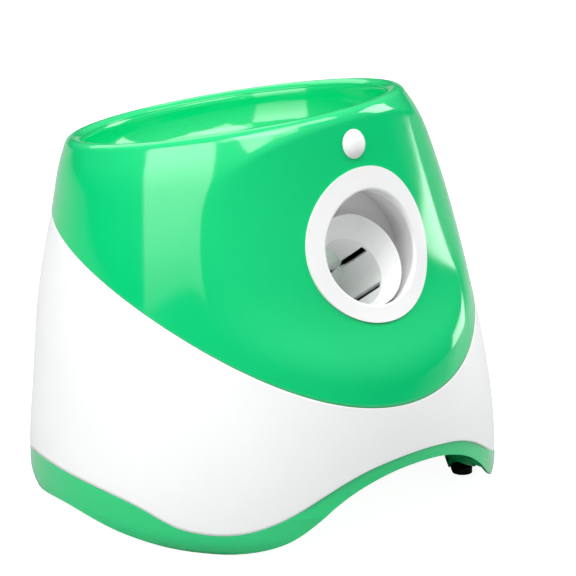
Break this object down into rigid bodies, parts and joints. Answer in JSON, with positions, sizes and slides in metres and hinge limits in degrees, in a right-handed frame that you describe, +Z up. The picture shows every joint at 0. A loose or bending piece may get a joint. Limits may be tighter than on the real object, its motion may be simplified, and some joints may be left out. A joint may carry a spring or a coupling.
{
  "type": "automatic ball launcher",
  "caption": "Automatic dog ball launcher: bell-shaped white and green housing, tilted hopper bowl on top, round muzzle with a flared barrel mouth and a sensor dome in front, base on four feet",
  "frame": {"origin": "on the ground under the middle of the base, in the plane of symmetry", "axes": "+Z up, -Y is where the muzzle points, X is the width; the body is symmetric about X = 0"},
  "size_m": [0.2756, 0.2732, 0.2429],
  "materials": {
    "green_gloss": "gloss",
    "white_satin": "satin",
    "white_gloss": "gloss",
    "lens_milk": "satin",
    "acetal": "satin",
    "black_nylon": "matte",
    "steel": "satin",
    "spring_steel": "satin",
    "brass": "satin",
    "rubber": "matte",
    "circuit_board": "satin"
  },
  "bodies": {
    "housing": {"barrel": "white_gloss", "barrel_cap": "white_gloss", "barrel_mouth": "white_gloss", "base": "green_gloss", "battery_contacts": "steel", "battery_door": "green_gloss", "battery_door_screw": "steel", "button_switch": "black_nylon", "compound_axle": "steel", "control_board": "circuit_board", "dc_jack": "black_nylon", "foot_pads": "rubber", "frame_left": "black_nylon", "frame_right": "black_nylon", "frame_screws": "steel", "frame_spacers": "steel", "hopper_bowl": "green_gloss", "housing_screws": "steel", "lower_shell": "white_satin", "motor": "steel", "muzzle_bezel": "white_gloss", "plunger_spring": "spring_steel", "position_switch": "black_nylon", "rear_board": "circuit_board", "sensor_board": "circuit_board", "sensor_lens": "lens_milk", "shaft_bushes": "brass", "stem_bush": "acetal", "upper_shell": "green_gloss"},
    "sector": {"sector_gear": "acetal", "output_gear": "acetal", "sector_shaft": "steel", "switch_cam": "acetal"},
    "compound": {"compound_gear": "acetal"},
    "motor_rotor": {"motor_pinion": "brass", "motor_shaft": "steel"},
    "striker": {"plunger": "acetal", "striker_pad": "rubber"},
    "button": {"power_button": "green_gloss"}
  },
  "joints": [
    {"name": "sector_turn", "type": "hinge", "parent": "housing", "child": "sector", "pos_m": [0, -0.03461, 0.05667], "axis": [-1, 0, 0], "range_deg": [0, 124]},
    {"name": "plunger_slide", "type": "slide", "parent": "housing", "child": "striker", "axis": [0, 0.8039, -0.5948], "range_m": [0, 0.036], "stiffness_N_per_m": 30, "springref_m": -0.008, "deforming": ["plunger_spring"]},
    {"name": "compound_turn", "type": "hinge", "parent": "housing", "child": "compound", "pos_m": [0, -0.00533, 0.05018], "axis": [-1, 0, 0], "range_deg": [-500, 4]},
    {"name": "motor_turn", "type": "hinge", "parent": "housing", "child": "motor_rotor", "pos_m": [0, 0.01412, 0.05485], "axis": [-1, 0, 0], "range_deg": [-16, 2000]},
    {"name": "button_press", "type": "slide", "parent": "housing", "child": "button", "axis": [0, -1, 0], "range_m": [0, 0.0015], "stiffness_N_per_m": 500}
  ],
  "couplings": [
    {"joint": "plunger_slide", "follows": "sector_turn", "m_per_rad": 0.0165},
    {"joint": "compound_turn", "follows": "sector_turn", "ratio": -4},
    {"joint": "motor_turn", "follows": "sector_turn", "ratio": 16}
  ]
}
